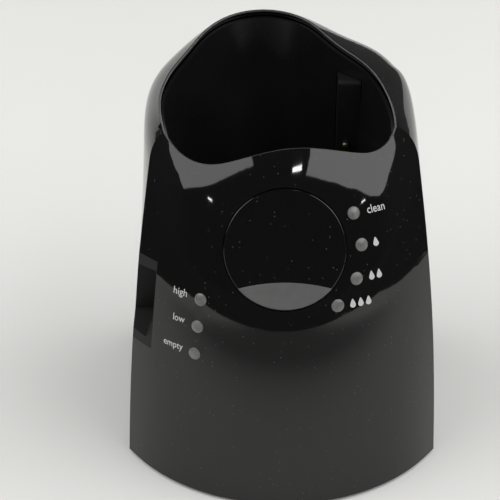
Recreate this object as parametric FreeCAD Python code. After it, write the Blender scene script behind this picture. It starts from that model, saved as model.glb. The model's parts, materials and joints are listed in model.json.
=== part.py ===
import FreeCAD, Part
import math
import os

os.makedirs("parts", exist_ok=True)
V = FreeCAD.Vector

# Cleaning and charging station for an electric shaver.
# Frame: +Z up, -Y towards the user, origin on the table under the middle of the base.

# ---- overall sizes (mm)
WIDTH = 128.0            # across the two front creases at the table
DEPTH = 136.0            # front face to rear face at the table
RIM_HEIGHT = 165.0       # highest point of the opening's rim, at the back
FRONT_RADIUS = 0.5945 * WIDTH             # plan radius of the round front
WALL = 2.2               # housing wall
SHELL_LIFT = 1.5         # gap between table and housing edge
FOOT_HEIGHT = 1.8

# ---- front face profile
FRONT_LEAN = 5.0         # degrees, straight lower part
FRONT_STRAIGHT = 50.0    # height where the lean starts to grow
FRONT_BOW = 172.0        # profile radius above it
SIDE_LEAN = 2.2
SIDE_BOW = 1250.0
BACK_LEAN = 1.6
FACET_LEFT = 0.28        # sideways slope of the left facet at the shoulder, outwards going back
FACET_RIGHT = 0.12
FACET_FADE = 180.0       # distance over which that slope fades away
FACET_START = 50.0       # height where the facets begin to turn
FACET_END = 140.0
CREASE_TOP = 130.0       # where the front crease dies into the shoulder
SHOULDER_DIP = 10.0
SHOULDER_FRONT = 112.0
RIGHT_RISE = 5.0         # how much higher the wall stands at the right rear
RIGHT_BUMP = (0.58, 0.78, 0.88, 1.0)      # where round the back the right shoulder is fuller
LEFT_BUMP = (0.0, 0.15, 0.2, 0.42)
REAR_BUMP = (0.3, 0.5, 0.5, 0.7)
CORNER_LOW = 6.0         # squareness of the rear corners at the table and at the shoulder
CORNER_HIGH = 3.0

# ---- clearances
SLIDE_GAP = 0.4          # flat faces that slide past one another
BUTTON_GAP = 0.35
LENS_FIT = 0.05
SEAL_GAP = 0.35
PANEL_GAP = 0.35

# ---- front button and lenses
BUTTON_R = 23.3
BUTTON_HEIGHT = 109.0
BUTTON_DEPTH = 6.5
BUTTON_SET = 2.4         # rim of the button behind the tangent plane of the front
BUTTON_DISH = 1.5
BUTTON_TRAVEL = 1.2
LENS_R = 2.52
LENS_PROUD = 0.35
LENS_DOME = 0.6
LENS_LENGTH = 4.6
RIGHT_LENSES = {"clean": (26.1, 119.5), "short": (29.3, 108.2), "normal": (27.5, 96.5), "intensive": (20.3, 87.7)}
LEFT_LENSES = {"high": (-32.4, 87.5), "low": (-33.7, 76.6), "empty": (-35.0, 65.1)}

# ---- cartridge and base
CART_W = 98.0
CART_FRONT = -34.0
CART_H = 38.0
CART_FLOOR = 5.0
CART_WALL = 1.8
CART_TRAVEL = 112.0
PORT_COLLAR = 1.9
TRAY_FLOOR = 3.0
POST_X = 54.4
POST_Y = 8.0
POST_R = 2.0
POST_TOP = 72.0
SLEEVE_R = 3.2
SLEEVE_BOTTOM = 41.0
SLEEVE_TOP = 60.0
RUN_FIT = 0.08           # radial play of post in sleeve
LIFT_TRAVEL = 22.0
CHASSIS_Z = 47.0
CHASSIS_T = 2.6

# The rim of the opening: x, y and height of points from the left end of the front run.
RIM_FRONT = [(-46.7, -20.1, 140.6), (-44.2, -23.9, 138.0), (-41.0, -27.2, 135.8), (-37.4, -30.2, 134.4),
             (-33.0, -32.9, 133.9), (-26.4, -35.4, 134.6), (-19.0, -36.3, 136.8), (-10.3, -36.2, 139.4),
             (-1.7, -35.6, 141.2), (7.8, -35.1, 141.7), (16.6, -34.4, 140.6), (25.4, -33.0, 138.6),
             (32.4, -30.9, 137.2), (38.7, -26.9, 138.2), (42.0, -23.2, 140.9), (43.2, -20.0, 143.2)]
RIM_BACK = [(-46.7, -20.1, 140.6), (-48.5, -14.0, 146.2), (-48.6, -7.6, 149.8), (-47.1, -0.6, 152.2),
            (-44.6, 6.0, 154.4), (-41.4, 12.0, 156.2), (-37.7, 18.2, 158.2), (-33.7, 25.4, 160.4),
            (-28.6, 32.2, 162.4), (-21.6, 37.6, 164.0), (-13.0, 40.6, 164.9), (-4.0, 40.8, 165.0),
            (4.6, 38.4, 164.2), (11.6, 33.6, 162.8), (17.4, 26.6, 160.8), (23.4, 19.6, 158.6),
            (30.0, 13.2, 156.6), (35.6, 6.0, 154.4), (39.2, -2.0, 152.0), (41.6, -10.0, 149.2),
            (43.0, -16.4, 145.8), (43.2, -20.0, 143.2)]
RIM_SHIFT = 8.0          # the opening's points are taken about the front circle's centre

SCALE_X = WIDTH / 128.0
SCALE_Y = DEPTH / 136.0
SCALE_Z = RIM_HEIGHT / 165.0


def rad(degrees):
    return math.radians(degrees)


def front_inset(z):
    """How far the front face has come back at height z."""
    lean = rad(FRONT_LEAN)
    if z <= FRONT_STRAIGHT:
        return z * math.tan(lean)
    s = math.sin(lean) + (z - FRONT_STRAIGHT) / FRONT_BOW
    arc = FRONT_BOW * (math.cos(lean) - math.sqrt(1 - s * s))
    return FRONT_STRAIGHT * math.tan(lean) + arc


def half_width(z):
    return WIDTH / 2 - z * math.tan(rad(SIDE_LEAN)) - z * z / (2 * SIDE_BOW)


def front_y(x, z, inset=0.0):
    """The front face, a round plan carried back along its profile."""
    r = FRONT_RADIUS - inset
    return -DEPTH / 2 + front_inset(z) + FRONT_RADIUS - math.sqrt(r * r - x * x)


def facet_growth(z):
    """How far the side facets have turned at height z, from 0 to 1."""
    k = min(max((z - FACET_START) / (FACET_END - FACET_START), 0.0), 1.0)
    return k ** 3


def smooth_step(value, start, end):
    k = min(max((value - start) / (end - start), 0.0), 1.0) if end > start else float(value >= end)
    return k * k * (3 - 2 * k)


def bump(q, span):
    """Rises over the first two values of the span and falls over the last two."""
    return smooth_step(q, span[0], span[1]) * (1 - smooth_step(q, span[2], span[3]))


def power(value, exponent):
    return math.copysign(abs(value) ** exponent, value)


def back_point(q, z, inset=0.0):
    """Plan of the sides and rear: q runs 0 to 1 from the left crease round the back."""
    w = half_width(z) - inset
    y0 = front_y(w, z, inset)
    depth = DEPTH / 2 - z * math.tan(rad(BACK_LEAN)) - inset - y0
    across = -math.cos(math.pi * q)
    back = math.sin(math.pi * min(q, 1 - q))
    squareness = CORNER_LOW + (CORNER_HIGH - CORNER_LOW) * min(z / CREASE_TOP, 1.0)
    x = w * power(across, 2 / squareness)
    y = y0 + depth * power(back, 2 / squareness)
    run = (y - y0) * (1 - (y - y0) / FACET_FADE)
    slope = (FACET_LEFT * (1 - across) - FACET_RIGHT * (1 + across)) / 2
    x -= run * slope * facet_growth(z)
    return V(x, y, z)


def front_point(s, z, inset=0.0):
    x = s * (half_width(z) - inset)
    return V(x, front_y(x, z, inset), z)


def rim_point(points, t, inset=0.0):
    """A point at fraction t of a run of the rim, by a smooth spline through its points."""
    if not hasattr(rim_point, "cache"):
        rim_point.cache = {}
    key = id(points)
    if key not in rim_point.cache:
        curve = Part.BSplineCurve()
        loop = [V(x * SCALE_X, (y + RIM_SHIFT) * SCALE_Y, z * SCALE_Z) for x, y, z in points]
        curve.interpolate(loop)
        rim_point.cache[key] = curve
    curve = rim_point.cache[key]
    p = curve.value(curve.parameterAtDistance(t * curve.length(), curve.FirstParameter))
    return V(p.x, p.y, p.z - 1.1 * inset)


def meridian(wall, z_top, rim, fullness, weight, rows, shoulder_rows):
    """Points of one upright curve of the skin: up the wall, then over to the rim on a conic."""
    low = [wall(SHELL_LIFT + (z_top - SHELL_LIFT) * i / rows) for i in range(rows + 1)]
    tangent = wall(z_top) - wall(z_top - 0.5)
    tangent.normalize()
    knee = low[-1] + tangent * ((rim.z - z_top) * fullness / tangent.z)
    high = []
    for i in range(shoulder_rows + 1):
        t = i / shoulder_rows
        pull = 2 * weight * t * (1 - t)
        p = low[-1] * ((1 - t) ** 2) + knee * pull + rim * (t * t)
        high.append(p * (1 / ((1 - t) ** 2 + pull + t * t)))
    return low, high


def skin_grids(inset, columns=24, rows=9, shoulder_rows=8):
    """Grids of points: front low and high, back low and high."""
    grids = {"front_low": [], "front_high": [], "back_low": [], "back_high": []}
    for i in range(columns + 1):
        s = -1 + 2 * i / columns
        z_top = (SHOULDER_FRONT + (CREASE_TOP - SHOULDER_FRONT) * s * s) * SCALE_Z
        rim = rim_point(RIM_FRONT, i / columns, inset)
        low, high = meridian(lambda z: front_point(s, z, inset), z_top, rim,
                             0.5 + 0.14 * s * s, 1.0, rows, shoulder_rows)
        grids["front_low"].append(low)
        grids["front_high"].append(high)
    count = columns * 2
    for i in range(count + 1):
        q = i / count
        right = bump(q, RIGHT_BUMP)
        rear = bump(q, REAR_BUMP)
        z_top = (CREASE_TOP - SHOULDER_DIP * math.sin(math.pi * q) + RIGHT_RISE * right) * SCALE_Z
        rim = rim_point(RIM_BACK, i / count, inset)
        low, high = meridian(lambda z: back_point(q, z, inset), z_top, rim,
                             0.64 + 0.16 * math.sin(math.pi * q) + 0.1 * (right + rear),
                             1.0 + 0.8 * right + 0.5 * rear + 0.2 * bump(q, LEFT_BUMP), rows, shoulder_rows)
        grids["back_low"].append(low)
        grids["back_high"].append(high)
    return grids


def knots_for(count, degree):
    """Clamped even knots and their multiplicities for a row of poles."""
    inner = count - degree - 1
    knots = [i / (inner + 1) for i in range(inner + 2)]
    return knots, [degree + 1] + [1] * inner + [degree + 1]


def surface(grid):
    """A smooth patch that uses the grid's points as its poles, so neighbours share their edges."""
    degree_u = min(3, len(grid) - 1)
    degree_v = min(3, len(grid[0]) - 1)
    knots_u, mults_u = knots_for(len(grid), degree_u)
    knots_v, mults_v = knots_for(len(grid[0]), degree_v)
    patch = Part.BSplineSurface()
    patch.buildFromPolesMultsKnots(grid, mults_u, mults_v, knots_u, knots_v, False, False, degree_u, degree_v)
    return patch.toShape()


def ring_face(outer, inner):
    """A narrow ruled strip between two rows of points."""
    return surface([[a, b] for a, b in zip(outer, inner)])


def solid_between(outer, inner):
    """Closed solid between two sets of skin grids."""
    faces = [surface(g) for g in outer.values()] + [surface(g) for g in inner.values()]
    for part in ("front", "back"):
        faces.append(ring_face([c[-1] for c in outer[part + "_high"]], [c[-1] for c in inner[part + "_high"]]))
        faces.append(ring_face([c[0] for c in outer[part + "_low"]], [c[0] for c in inner[part + "_low"]]))
    shell = Part.makeShell(faces)
    shell.sewShape(0.05)
    solid = Part.makeSolid(shell.Shells[0] if shell.Shells else shell)
    if solid.Volume < 0:
        solid.reverse()
    return solid


def slab(z0, z1, inset=0.0, columns=24, rows=2):
    """Solid of the body's plan between two heights, inset from the outer skin."""
    heights = [z0 + (z1 - z0) * i / rows for i in range(rows + 1)]
    front = [[front_point(-1 + 2 * i / columns, z, inset) for z in heights] for i in range(columns + 1)]
    back = [[back_point(i / (2 * columns), z, inset) for z in heights] for i in range(2 * columns + 1)]
    sides = [surface(front), surface(back)]
    caps = []
    for row in (0, -1):
        rails = [surface([[c[row], c[row] + V(0, 0, 1)] for c in grid]) for grid in (front, back)]
        edges = []
        for face, z in zip(rails, (heights[row], heights[row])):
            edges += [e for e in face.Edges if e.BoundBox.ZMax - z < 1e-6 and e.BoundBox.XLength > 1]
        caps.append(Part.Face(Part.Wire(Part.__sortEdges__(edges))))
    shell = Part.makeShell(sides + caps)
    shell.sewShape(0.05)
    solid = Part.makeSolid(shell.Shells[0])
    if solid.Volume < 0:
        solid.reverse()
    return solid


def box(x0, x1, y0, y1, z0, z1):
    return Part.makeBox(x1 - x0, y1 - y0, z1 - z0, V(x0, y0, z0))


def rod(radius, start, direction, length):
    return Part.makeCylinder(radius, length, start, direction)


def ring(outer, inner, start, direction, length):
    return rod(outer, start, direction, length).cut(rod(inner, start, direction, length))


def rounded_box(x0, x1, y0, y1, z0, z1, radius):
    block = box(x0, x1, y0, y1, z0, z1)
    upright = [e for e in block.Edges if e.BoundBox.ZLength > (z1 - z0) - 1e-6]
    return block.makeFillet(radius, upright)


def save(name, shapes):
    """Write one node's solids as a STEP file."""
    if not isinstance(shapes, (list, tuple)):
        shapes = [shapes]
    solids = []
    for shape in shapes:
        solids += shape.Solids
    shape = solids[0] if len(solids) == 1 else Part.makeCompound(solids)
    shape.exportStep("parts/" + name + ".step")


# ---- local frames on the front face
UP = V(0, 0, 1)


def front_normal(x, z):
    """Outward direction of the front face at a point."""
    across = x / math.sqrt(FRONT_RADIUS ** 2 - x * x)
    rise = (front_inset(z + 0.05) - front_inset(z - 0.05)) / 0.1
    n = V(across, -1, rise)
    n.normalize()
    return n


def front_at(x, z):
    return V(x, front_y(x, z), z)


BUTTON_POINT = front_at(0, BUTTON_HEIGHT)
BUTTON_OUT = front_normal(0, BUTTON_HEIGHT)
BUTTON_UP = V(1, 0, 0).cross(BUTTON_OUT) * -1


def in_button_frame(x, up, depth):
    """Point given across, up the face and behind the tangent plane at the button."""
    return BUTTON_POINT + V(x, 0, 0) + BUTTON_UP * up - BUTTON_OUT * depth


def face_plate(x0, x1, up0, up1, depth0, depth1):
    """A flat plate parallel to the button's face."""
    corners = [in_button_frame(x, up, depth0) for x, up in ((x0, up0), (x1, up0), (x1, up1), (x0, up1))]
    face = Part.Face(Part.makePolygon(corners + [corners[0]]))
    return face.extrude(BUTTON_OUT * (depth0 - depth1))


def lens_spots():
    spots = dict(RIGHT_LENSES)
    spots.update(LEFT_LENSES)
    return spots


# ---- housing
NOTCH_Z0 = 59.6
NOTCH_Z1 = 95.5
NOTCH_IN = 49.3          # distance of the notch's inner side from the middle, at its top
NOTCH_SPREAD = 0.095     # how the inner side moves out with depth below the top
NOTCH_DEPTH = 15.0       # how far back the notch reaches behind the front face
NOTCH_SLOPE = 5.0
NOTCH_BEVEL = 6.8        # height of the small corner facet at the foot of the inner side
WINDOW_TOP = 46.0
PANEL_HALF = 34.0
PANEL_Z0 = 50.5
PANEL_Z1 = 112.0
PANEL_SCREWS = ((-24.0, 107.0), (22.0, 107.0))
BOSS_REAR = WIDTH / 2 - 20.0
BOSS_FRONT = WIDTH / 2 - 22.0
BOSSES = ((-BOSS_REAR, 50.0), (BOSS_REAR, 50.0), (-BOSS_FRONT, -38.0), (BOSS_FRONT, -38.0))
BOSS_R = 3.6
SCREW_R = 1.4
SCREW_HEAD_R = 2.7
LIFT_X = 11.0
LIFT_Z0 = 53.5
LIFT_Z1 = 61.5
SOCKET_X = (-27.0, -15.0)
SOCKET_Z = (68.0, 77.0)
VENT_Z = [84.0 + 5.0 * i for i in range(6)]
VENT_HALF = 12.0


def notch_tool(grow=0.0):
    """The thumb notch at the left crease, with sloping ends, as a cutting block."""
    x_out = 72.0
    y_front = front_y(NOTCH_IN, NOTCH_Z1)
    profile = [(-70.0, NOTCH_Z0 - grow), (-70.0, NOTCH_Z1 + grow),
               (y_front + NOTCH_DEPTH + grow, NOTCH_Z1 - NOTCH_SLOPE + grow),
               (y_front + NOTCH_DEPTH + grow, NOTCH_Z0 + NOTCH_SLOPE - grow)]
    corners = [V(-notch_inner_x(z) + grow, y, z) for y, z in profile]
    face = Part.Face(Part.makePolygon(corners + [corners[0]]))
    return face.extrude(V(NOTCH_IN - x_out, 0, 0))


def notch_inner_x(z):
    return NOTCH_IN + (NOTCH_Z1 - z) * NOTCH_SPREAD


def notch_facet():
    """Small corner block that leaves a sloping facet at the foot of the notch's inner side."""
    low = notch_inner_x(NOTCH_Z0)
    high = notch_inner_x(NOTCH_Z0 + NOTCH_BEVEL)
    foot = V(-low + 0.5, front_y(low, NOTCH_Z0) - 1.0, NOTCH_Z0 - 1.5)
    top = V(-high + 0.2, front_y(high, NOTCH_Z0) - 0.5, NOTCH_Z0 + NOTCH_BEVEL)
    outer = V(-low - 4.5, foot.y + 7.5, NOTCH_Z0 + 0.5)
    deep = V(-low + 2.5, foot.y + 16.0, NOTCH_Z0 + NOTCH_BEVEL)
    under = V(-low - 4.5, foot.y + 9.0, NOTCH_Z0 - 4.0)
    faces = []
    for ring_points in ((foot, top, outer), (top, deep, outer), (foot, deep, top), (outer, deep, under),
                        (foot, outer, under), (foot, under, deep)):
        faces.append(Part.Face(Part.makePolygon(list(ring_points) + [ring_points[0]])))
    solid = Part.makeSolid(Part.makeShell(faces))
    if solid.Volume < 0:
        solid.reverse()
    return solid


def button_bore():
    return rod(BUTTON_R + BUTTON_GAP, in_button_frame(0, 0, 14), BUTTON_OUT, 28)


def lens_hole(x, z):
    n = front_normal(x, z)
    return rod(LENS_R + LENS_FIT, front_at(x, z) - n * 9, n, 14)


def make_skin():
    return solid_between(skin_grids(0.0), skin_grids(WALL))


def make_outer_shell(skin):
    shell = skin
    core = slab(NOTCH_Z0 - 6, NOTCH_Z1 + 4, 0.4)
    shell = shell.fuse(notch_tool(WALL - 0.4).common(core))
    bosses = slab(CHASSIS_Z + CHASSIS_T, 66.0, 1.0)
    for x, y in BOSSES:
        reach = 9.0 if y < 0 else 11.0
        way = V(x, y if y < 0 else 0.0, 0)
        way.normalize()
        post = rod(BOSS_R, V(x, y, CHASSIS_Z + CHASSIS_T), UP, 12)
        web = box(-1.0, 1.0, 0, reach, CHASSIS_Z + CHASSIS_T, CHASSIS_Z + CHASSIS_T + 12)
        web.rotate(V(0, 0, 0), UP, math.degrees(math.atan2(way.y, way.x)) - 90)
        web.translate(V(x, y, 0))
        shell = shell.fuse(post.fuse(web).common(bosses))
    shell = shell.cut(notch_tool().cut(notch_facet()))
    for x, y in BOSSES:
        shell = shell.cut(rod(SCREW_R - 0.1, V(x, y, CHASSIS_Z), UP, 12))
    shell = shell.cut(button_bore())
    for x, z in lens_spots().values():
        shell = shell.cut(lens_hole(x, z))
    shell = shell.cut(box(-CART_W / 2 - SLIDE_GAP, CART_W / 2 + SLIDE_GAP, 20, 90, -5, WINDOW_TOP))
    shell = shell.cut(box(-PANEL_HALF, PANEL_HALF, 40, 90, PANEL_Z0, PANEL_Z1))
    return shell


def make_rear_cover(skin):
    """The rear panel, cut from the same skin as the shell so its face runs on."""
    g = PANEL_GAP
    cover = skin.common(box(-PANEL_HALF + g, PANEL_HALF - g, 40, 90, PANEL_Z0 + g, PANEL_Z1 - g))
    b = BUTTON_GAP
    cover = cover.cut(box(-LIFT_X - b, LIFT_X + b, 40, 90, LIFT_Z0 - b, LIFT_Z1 + b))
    cover = cover.cut(box(SOCKET_X[0], SOCKET_X[1], 40, 90, SOCKET_Z[0], SOCKET_Z[1]))
    for z in VENT_Z:
        cover = cover.cut(box(-VENT_HALF, VENT_HALF, 40, 90, z, z + 2.2))
    for x, z in PANEL_SCREWS:
        cover = cover.cut(rod(SCREW_R, V(x, 40, z), V(0, 1, 0), 50))
        cover = cover.cut(rod(SCREW_HEAD_R + 0.15, V(x, back_y(x, z) - 0.9, z), V(0, 1, 0), 20))
    return cover


def back_wall_y(z, inset=0.0):
    return DEPTH / 2 - z * math.tan(rad(BACK_LEAN)) - inset


def back_y(x, z):
    """How far back the rear face is at a point across it."""
    low, high = (0.5, 1.0) if x > 0 else (0.5, 0.0)
    for _ in range(40):
        mid = (low + high) / 2
        if abs(back_point(mid, z).x - back_point(0.5, z).x) < abs(x - back_point(0.5, z).x):
            low = mid
        else:
            high = mid
    return back_point(low, z).y


def make_panel_screws():
    screws = []
    for x, z in PANEL_SCREWS:
        y = back_y(x, z) - 0.9
        screw = rod(SCREW_R - 0.1, V(x, y - 8, z), V(0, 1, 0), 8)
        screws.append(screw.fuse(rod(SCREW_HEAD_R, V(x, y, z), V(0, 1, 0), 1.4)))
    return screws


# ---- start button
def make_start_button():
    """Dished round cap with a skirt and a stem on its back."""
    cap = rod(BUTTON_R, in_button_frame(0, 0, BUTTON_SET + BUTTON_DEPTH), BUTTON_OUT, BUTTON_DEPTH)
    front_edge = [e for e in cap.Edges if isinstance(e.Curve, Part.Circle)
                  and (e.Curve.Center - in_button_frame(0, 0, BUTTON_SET)).Length < 0.01]
    cap = cap.makeFillet(0.5, front_edge)
    dish_r = ((BUTTON_R - 0.6) ** 2 + BUTTON_DISH ** 2) / (2 * BUTTON_DISH)
    ball = Part.makeSphere(dish_r)
    ball.translate(in_button_frame(0, 0, BUTTON_SET + BUTTON_DISH - dish_r))
    cap = cap.cut(ball)
    hollow = rod(BUTTON_R - 1.8, in_button_frame(0, 0, BUTTON_SET + BUTTON_DEPTH), BUTTON_OUT, BUTTON_DEPTH - 4.0)
    cap = cap.cut(hollow)
    stem = rod(3.0, in_button_frame(0, 0, BUTTON_SET + BUTTON_DEPTH + 4.0), BUTTON_OUT, 8.2)
    return cap.fuse(stem)


def make_button_guide():
    inner = BUTTON_R + BUTTON_GAP
    sleeve = ring(inner + 1.6, inner, in_button_frame(0, 0, 12.5), BUTTON_OUT, 5.0)
    for x in (-1, 1):
        arm = face_plate(min(x * 8, x * 12), max(x * 8, x * 12), -inner - 3.35, 1.65 - inner, 12.5, BOARD_DEPTH)
        sleeve = sleeve.fuse(arm)
    return sleeve.cut(rod(inner, in_button_frame(0, 0, 13), BUTTON_OUT, 8))


BOARD_DEPTH = 16.2
BOARD_T = 1.6


def make_display_board():
    return face_plate(-22, 33, -29, 14, BOARD_DEPTH, BOARD_DEPTH + BOARD_T)


def make_start_switch():
    base = face_plate(-3.5, 3.5, -3.5, 3.5, BOARD_DEPTH - 1.6, BOARD_DEPTH)
    return base


def make_lens(x, z):
    """A round light lens with a low dome, set square in the front face."""
    n = front_normal(x, z)
    wall = LENS_LENGTH + LENS_PROUD - LENS_DOME
    top = wall + LENS_DOME
    dome_r = (LENS_R ** 2 + LENS_DOME ** 2) / (2 * LENS_DOME)
    half = V(LENS_R / 2, 0, top - dome_r + math.sqrt(dome_r ** 2 - LENS_R ** 2 / 4))
    edges = [Part.makeLine(V(0, 0, 0), V(LENS_R, 0, 0)),
             Part.makeLine(V(LENS_R, 0, 0), V(LENS_R, 0, wall)),
             Part.Arc(V(LENS_R, 0, wall), half, V(0, 0, top)).toShape(),
             Part.makeLine(V(0, 0, top), V(0, 0, 0))]
    lens = Part.Face(Part.Wire(edges)).revolve(V(0, 0, 0), UP, 360)
    lens.Placement = FreeCAD.Placement(front_at(x, z) - n * LENS_LENGTH, FreeCAD.Rotation(UP, n))
    return lens


def make_light_guides():
    guides = []
    for x, z in RIGHT_LENSES.values():
        start = front_at(x, z) - front_normal(x, z) * (LENS_LENGTH + 0.1)
        depth = (BUTTON_POINT - start).dot(BUTTON_OUT)
        guides.append(rod(1.5, start - BUTTON_OUT * (BOARD_DEPTH - depth - 0.05), BUTTON_OUT, BOARD_DEPTH - depth - 1.0))
    return guides


def level_frame():
    x, z = LEFT_LENSES["low"]
    return front_at(x, z), front_normal(x, z)


def make_level_board():
    point, n = level_frame()
    side = UP.cross(n)
    side.normalize()
    up = n.cross(side)
    start = point - n * 10.5
    corners = [start + side * a + up * b for a, b in ((-5, -17), (5, -17), (5, 17), (-5, 17))]
    return Part.Face(Part.makePolygon(corners + [corners[0]])).extrude(n * -1.4)


def make_level_leds():
    point, n = level_frame()
    leds = []
    for x, z in LEFT_LENSES.values():
        here = front_at(x, z)
        depth = (point - here).dot(n)
        back = here - n * (10.5 - depth)
        leds.append(rod(1.4, back, n, 10.5 - depth - LENS_LENGTH - 0.6))
    return leds


# ---- receptacle
CRADLE_FLOOR = 72.0
CRADLE_A = 32.0
CRADLE_B = 20.0
CRADLE_X = -2.0
CRADLE_Y = 11.0
CRADLE_T = 1.6
BOWL_DEPTH = 14.0
NOZZLE_R = 4.5
DRAIN_R = 3.0


def cradle_grids(inset, columns=24, rows=9):
    grids = {}
    for name, points, count in (("front", RIM_FRONT, columns), ("back", RIM_BACK, 2 * columns)):
        grid = []
        for i in range(count + 1):
            rim = rim_point(points, i / count, WALL)
            top = V(rim.x, rim.y, rim.z - 0.4)
            inward = V(CRADLE_X - top.x, CRADLE_Y - top.y, 0)
            angle = math.atan2(-inward.y / CRADLE_B, -inward.x / CRADLE_A)
            inward.normalize()
            top = top + inward * (0.5 + inset)
            a = CRADLE_A + CRADLE_T - inset
            b = CRADLE_B + CRADLE_T - inset
            end = V(CRADLE_X + a * math.cos(angle), CRADLE_Y + b * math.sin(angle), CRADLE_FLOOR)
            column = []
            for j in range(rows + 1):
                t = j / rows
                k = t ** 1.15
                column.append(V(top.x + (end.x - top.x) * k, top.y + (end.y - top.y) * k,
                                top.z + (end.z - top.z) * t))
            grid.append(column)
        grids[name] = grid
    return grids


def make_cradle():
    outer = cradle_grids(0.0)
    inner = cradle_grids(CRADLE_T)
    faces = [surface(g) for g in outer.values()] + [surface(g) for g in inner.values()]
    for name in outer:
        for row in (0, -1):
            faces.append(ring_face([c[row] for c in outer[name]], [c[row] for c in inner[name]]))
    shell = Part.makeShell(faces)
    shell.sewShape(0.05)
    solid = Part.makeSolid(shell.Shells[0])
    if solid.Volume < 0:
        solid.reverse()
    return solid


BLOCK = (22.0, 31.0, 17.0, 26.5, 92.0, 148.0)
PIN_X = 25.6
PIN_Z = (112.0, 120.0)
PIN_R = 1.3
PIN_OUT = 2.4


def make_contact_block():
    """Upright block at the rear right of the receptacle that carries the charging pins."""
    block = box(*BLOCK)
    top = [e for e in block.Edges if e.BoundBox.ZMin > BLOCK[5] - 0.01 and e.BoundBox.YMax < BLOCK[2] + 0.01]
    block = block.makeFillet(2.0, top)
    for z in PIN_Z:
        block = block.cut(rod(PIN_R + RUN_FIT, V(PIN_X, BLOCK[2] - 1, z), V(0, 1, 0), 8.5))
    return block


def block_pocket():
    g = PANEL_GAP
    x0, x1, y0, y1, z0, z1 = BLOCK
    return box(x0 - g, x1 + g, y0 - g, y1 + g, z0 - g, z1 + g)


def make_contact_pins():
    pins = []
    for z in PIN_Z:
        pin = rod(PIN_R, V(PIN_X, BLOCK[2] - PIN_OUT, z), V(0, 1, 0), PIN_OUT + 5.5)
        front = [e for e in pin.Edges if e.BoundBox.YMax < BLOCK[2] - PIN_OUT + 0.01]
        pins.append(pin.makeFillet(0.8, front))
    return pins


def ellipsoid(a, b, c, centre):
    ball = Part.makeSphere(1.0)
    m = FreeCAD.Matrix()
    m.scale(a, b, c)
    ball = ball.transformGeometry(m)
    ball.translate(centre)
    return ball


def oval(a, b, z0, z1):
    disc = Part.makeCylinder(1.0, z1 - z0)
    m = FreeCAD.Matrix()
    m.scale(a, b, 1)
    disc = disc.transformGeometry(m)
    disc.translate(V(CRADLE_X, CRADLE_Y, z0))
    return disc


def make_cleaning_bowl():
    centre = V(CRADLE_X, CRADLE_Y, CRADLE_FLOOR)
    outer = ellipsoid(CRADLE_A + 1.0, CRADLE_B + 1.0, BOWL_DEPTH + 1.6, centre)
    inner = ellipsoid(CRADLE_A - 0.8, CRADLE_B - 0.8, BOWL_DEPTH, centre)
    below = box(-80, 80, -80, 80, 0, CRADLE_FLOOR - 0.1)
    bowl = outer.common(below)
    bowl = bowl.fuse(oval(CRADLE_A + 2.6, CRADLE_B + 2.6, CRADLE_FLOOR - 2.0, CRADLE_FLOOR - 0.1))
    foot = rod(NOZZLE_R + 1.5, V(CRADLE_X, CRADLE_Y, CRADLE_FLOOR - BOWL_DEPTH - 5.0), UP, 6.0)
    bowl = bowl.fuse(foot).cut(inner)
    return bowl.cut(rod(DRAIN_R, V(CRADLE_X, CRADLE_Y, 40), UP, 30))


def make_drain_nozzle():
    top = CRADLE_FLOOR - BOWL_DEPTH - 5.0
    low = CART_FLOOR + CART_H + 2.6 + SEAL_GAP
    pipe = rod(NOZZLE_R, V(CRADLE_X, CRADLE_Y, low), UP, top - low)
    flange = rod(NOZZLE_R + 4, V(CRADLE_X, CRADLE_Y, CHASSIS_Z + CHASSIS_T), UP, 1.6)
    return pipe.fuse(flange).cut(rod(DRAIN_R - 0.6, V(CRADLE_X, CRADLE_Y, 40), UP, 30))


# ---- chassis and what it carries
CATCH_X = (50.4, 53.0)
CATCH_Y = (38.0, 41.5)
CATCH_TOP = 57.5
BAR_Y = (30.9, 34.4)
BAR_Z = (51.5, 55.0)
LIP_REACH = 3.0


def make_chassis():
    plate = slab(CHASSIS_Z, CHASSIS_Z + CHASSIS_T, WALL + 0.3)
    for side in (-1, 1):
        x = side * POST_X
        plate = plate.fuse(rod(SLEEVE_R, V(x, POST_Y, SLEEVE_BOTTOM), UP, SLEEVE_TOP - SLEEVE_BOTTOM))
        x0, x1 = sorted((side * (CATCH_X[0] - 0.8), side * (CATCH_X[1] + 0.8)))
        plate = plate.cut(box(x0, x1, CATCH_Y[0] - LIP_REACH - 1.0, CATCH_Y[1] + 0.8, 40, 60))
    for side in (-1, 1):
        plate = plate.cut(rod(POST_R + RUN_FIT, V(side * POST_X, POST_Y, 30), UP, 50))
    plate = plate.cut(rod(NOZZLE_R + 0.3, V(CRADLE_X, CRADLE_Y, 40), UP, 20))
    for x, y in BOSSES:
        plate = plate.cut(rod(SCREW_R + 0.15, V(x, y, 40), UP, 20))
    for x0 in (-40.0, 24.0):
        plate = plate.cut(rounded_box(x0, x0 + 16, -22, -8, 40, 60, 3))
    legs = box(-24, -20, CRADLE_Y - 3, CRADLE_Y + 3, CHASSIS_Z + CHASSIS_T, 61)
    legs = legs.fuse(box(16, 20, CRADLE_Y - 3, CRADLE_Y + 3, CHASSIS_Z + CHASSIS_T, 61))
    return plate.fuse(legs.cut(ellipsoid(CRADLE_A + 1.4, CRADLE_B + 1.4, BOWL_DEPTH + 2.0,
                                         V(CRADLE_X, CRADLE_Y, CRADLE_FLOOR))))


def make_chassis_screws():
    screws = []
    for x, y in BOSSES:
        shank = rod(SCREW_R - 0.1, V(x, y, CHASSIS_Z - 0.1), UP, 10)
        screws.append(shank.fuse(rod(SCREW_HEAD_R, V(x, y, CHASSIS_Z - 1.6), UP, 1.5)))
    return screws


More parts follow.
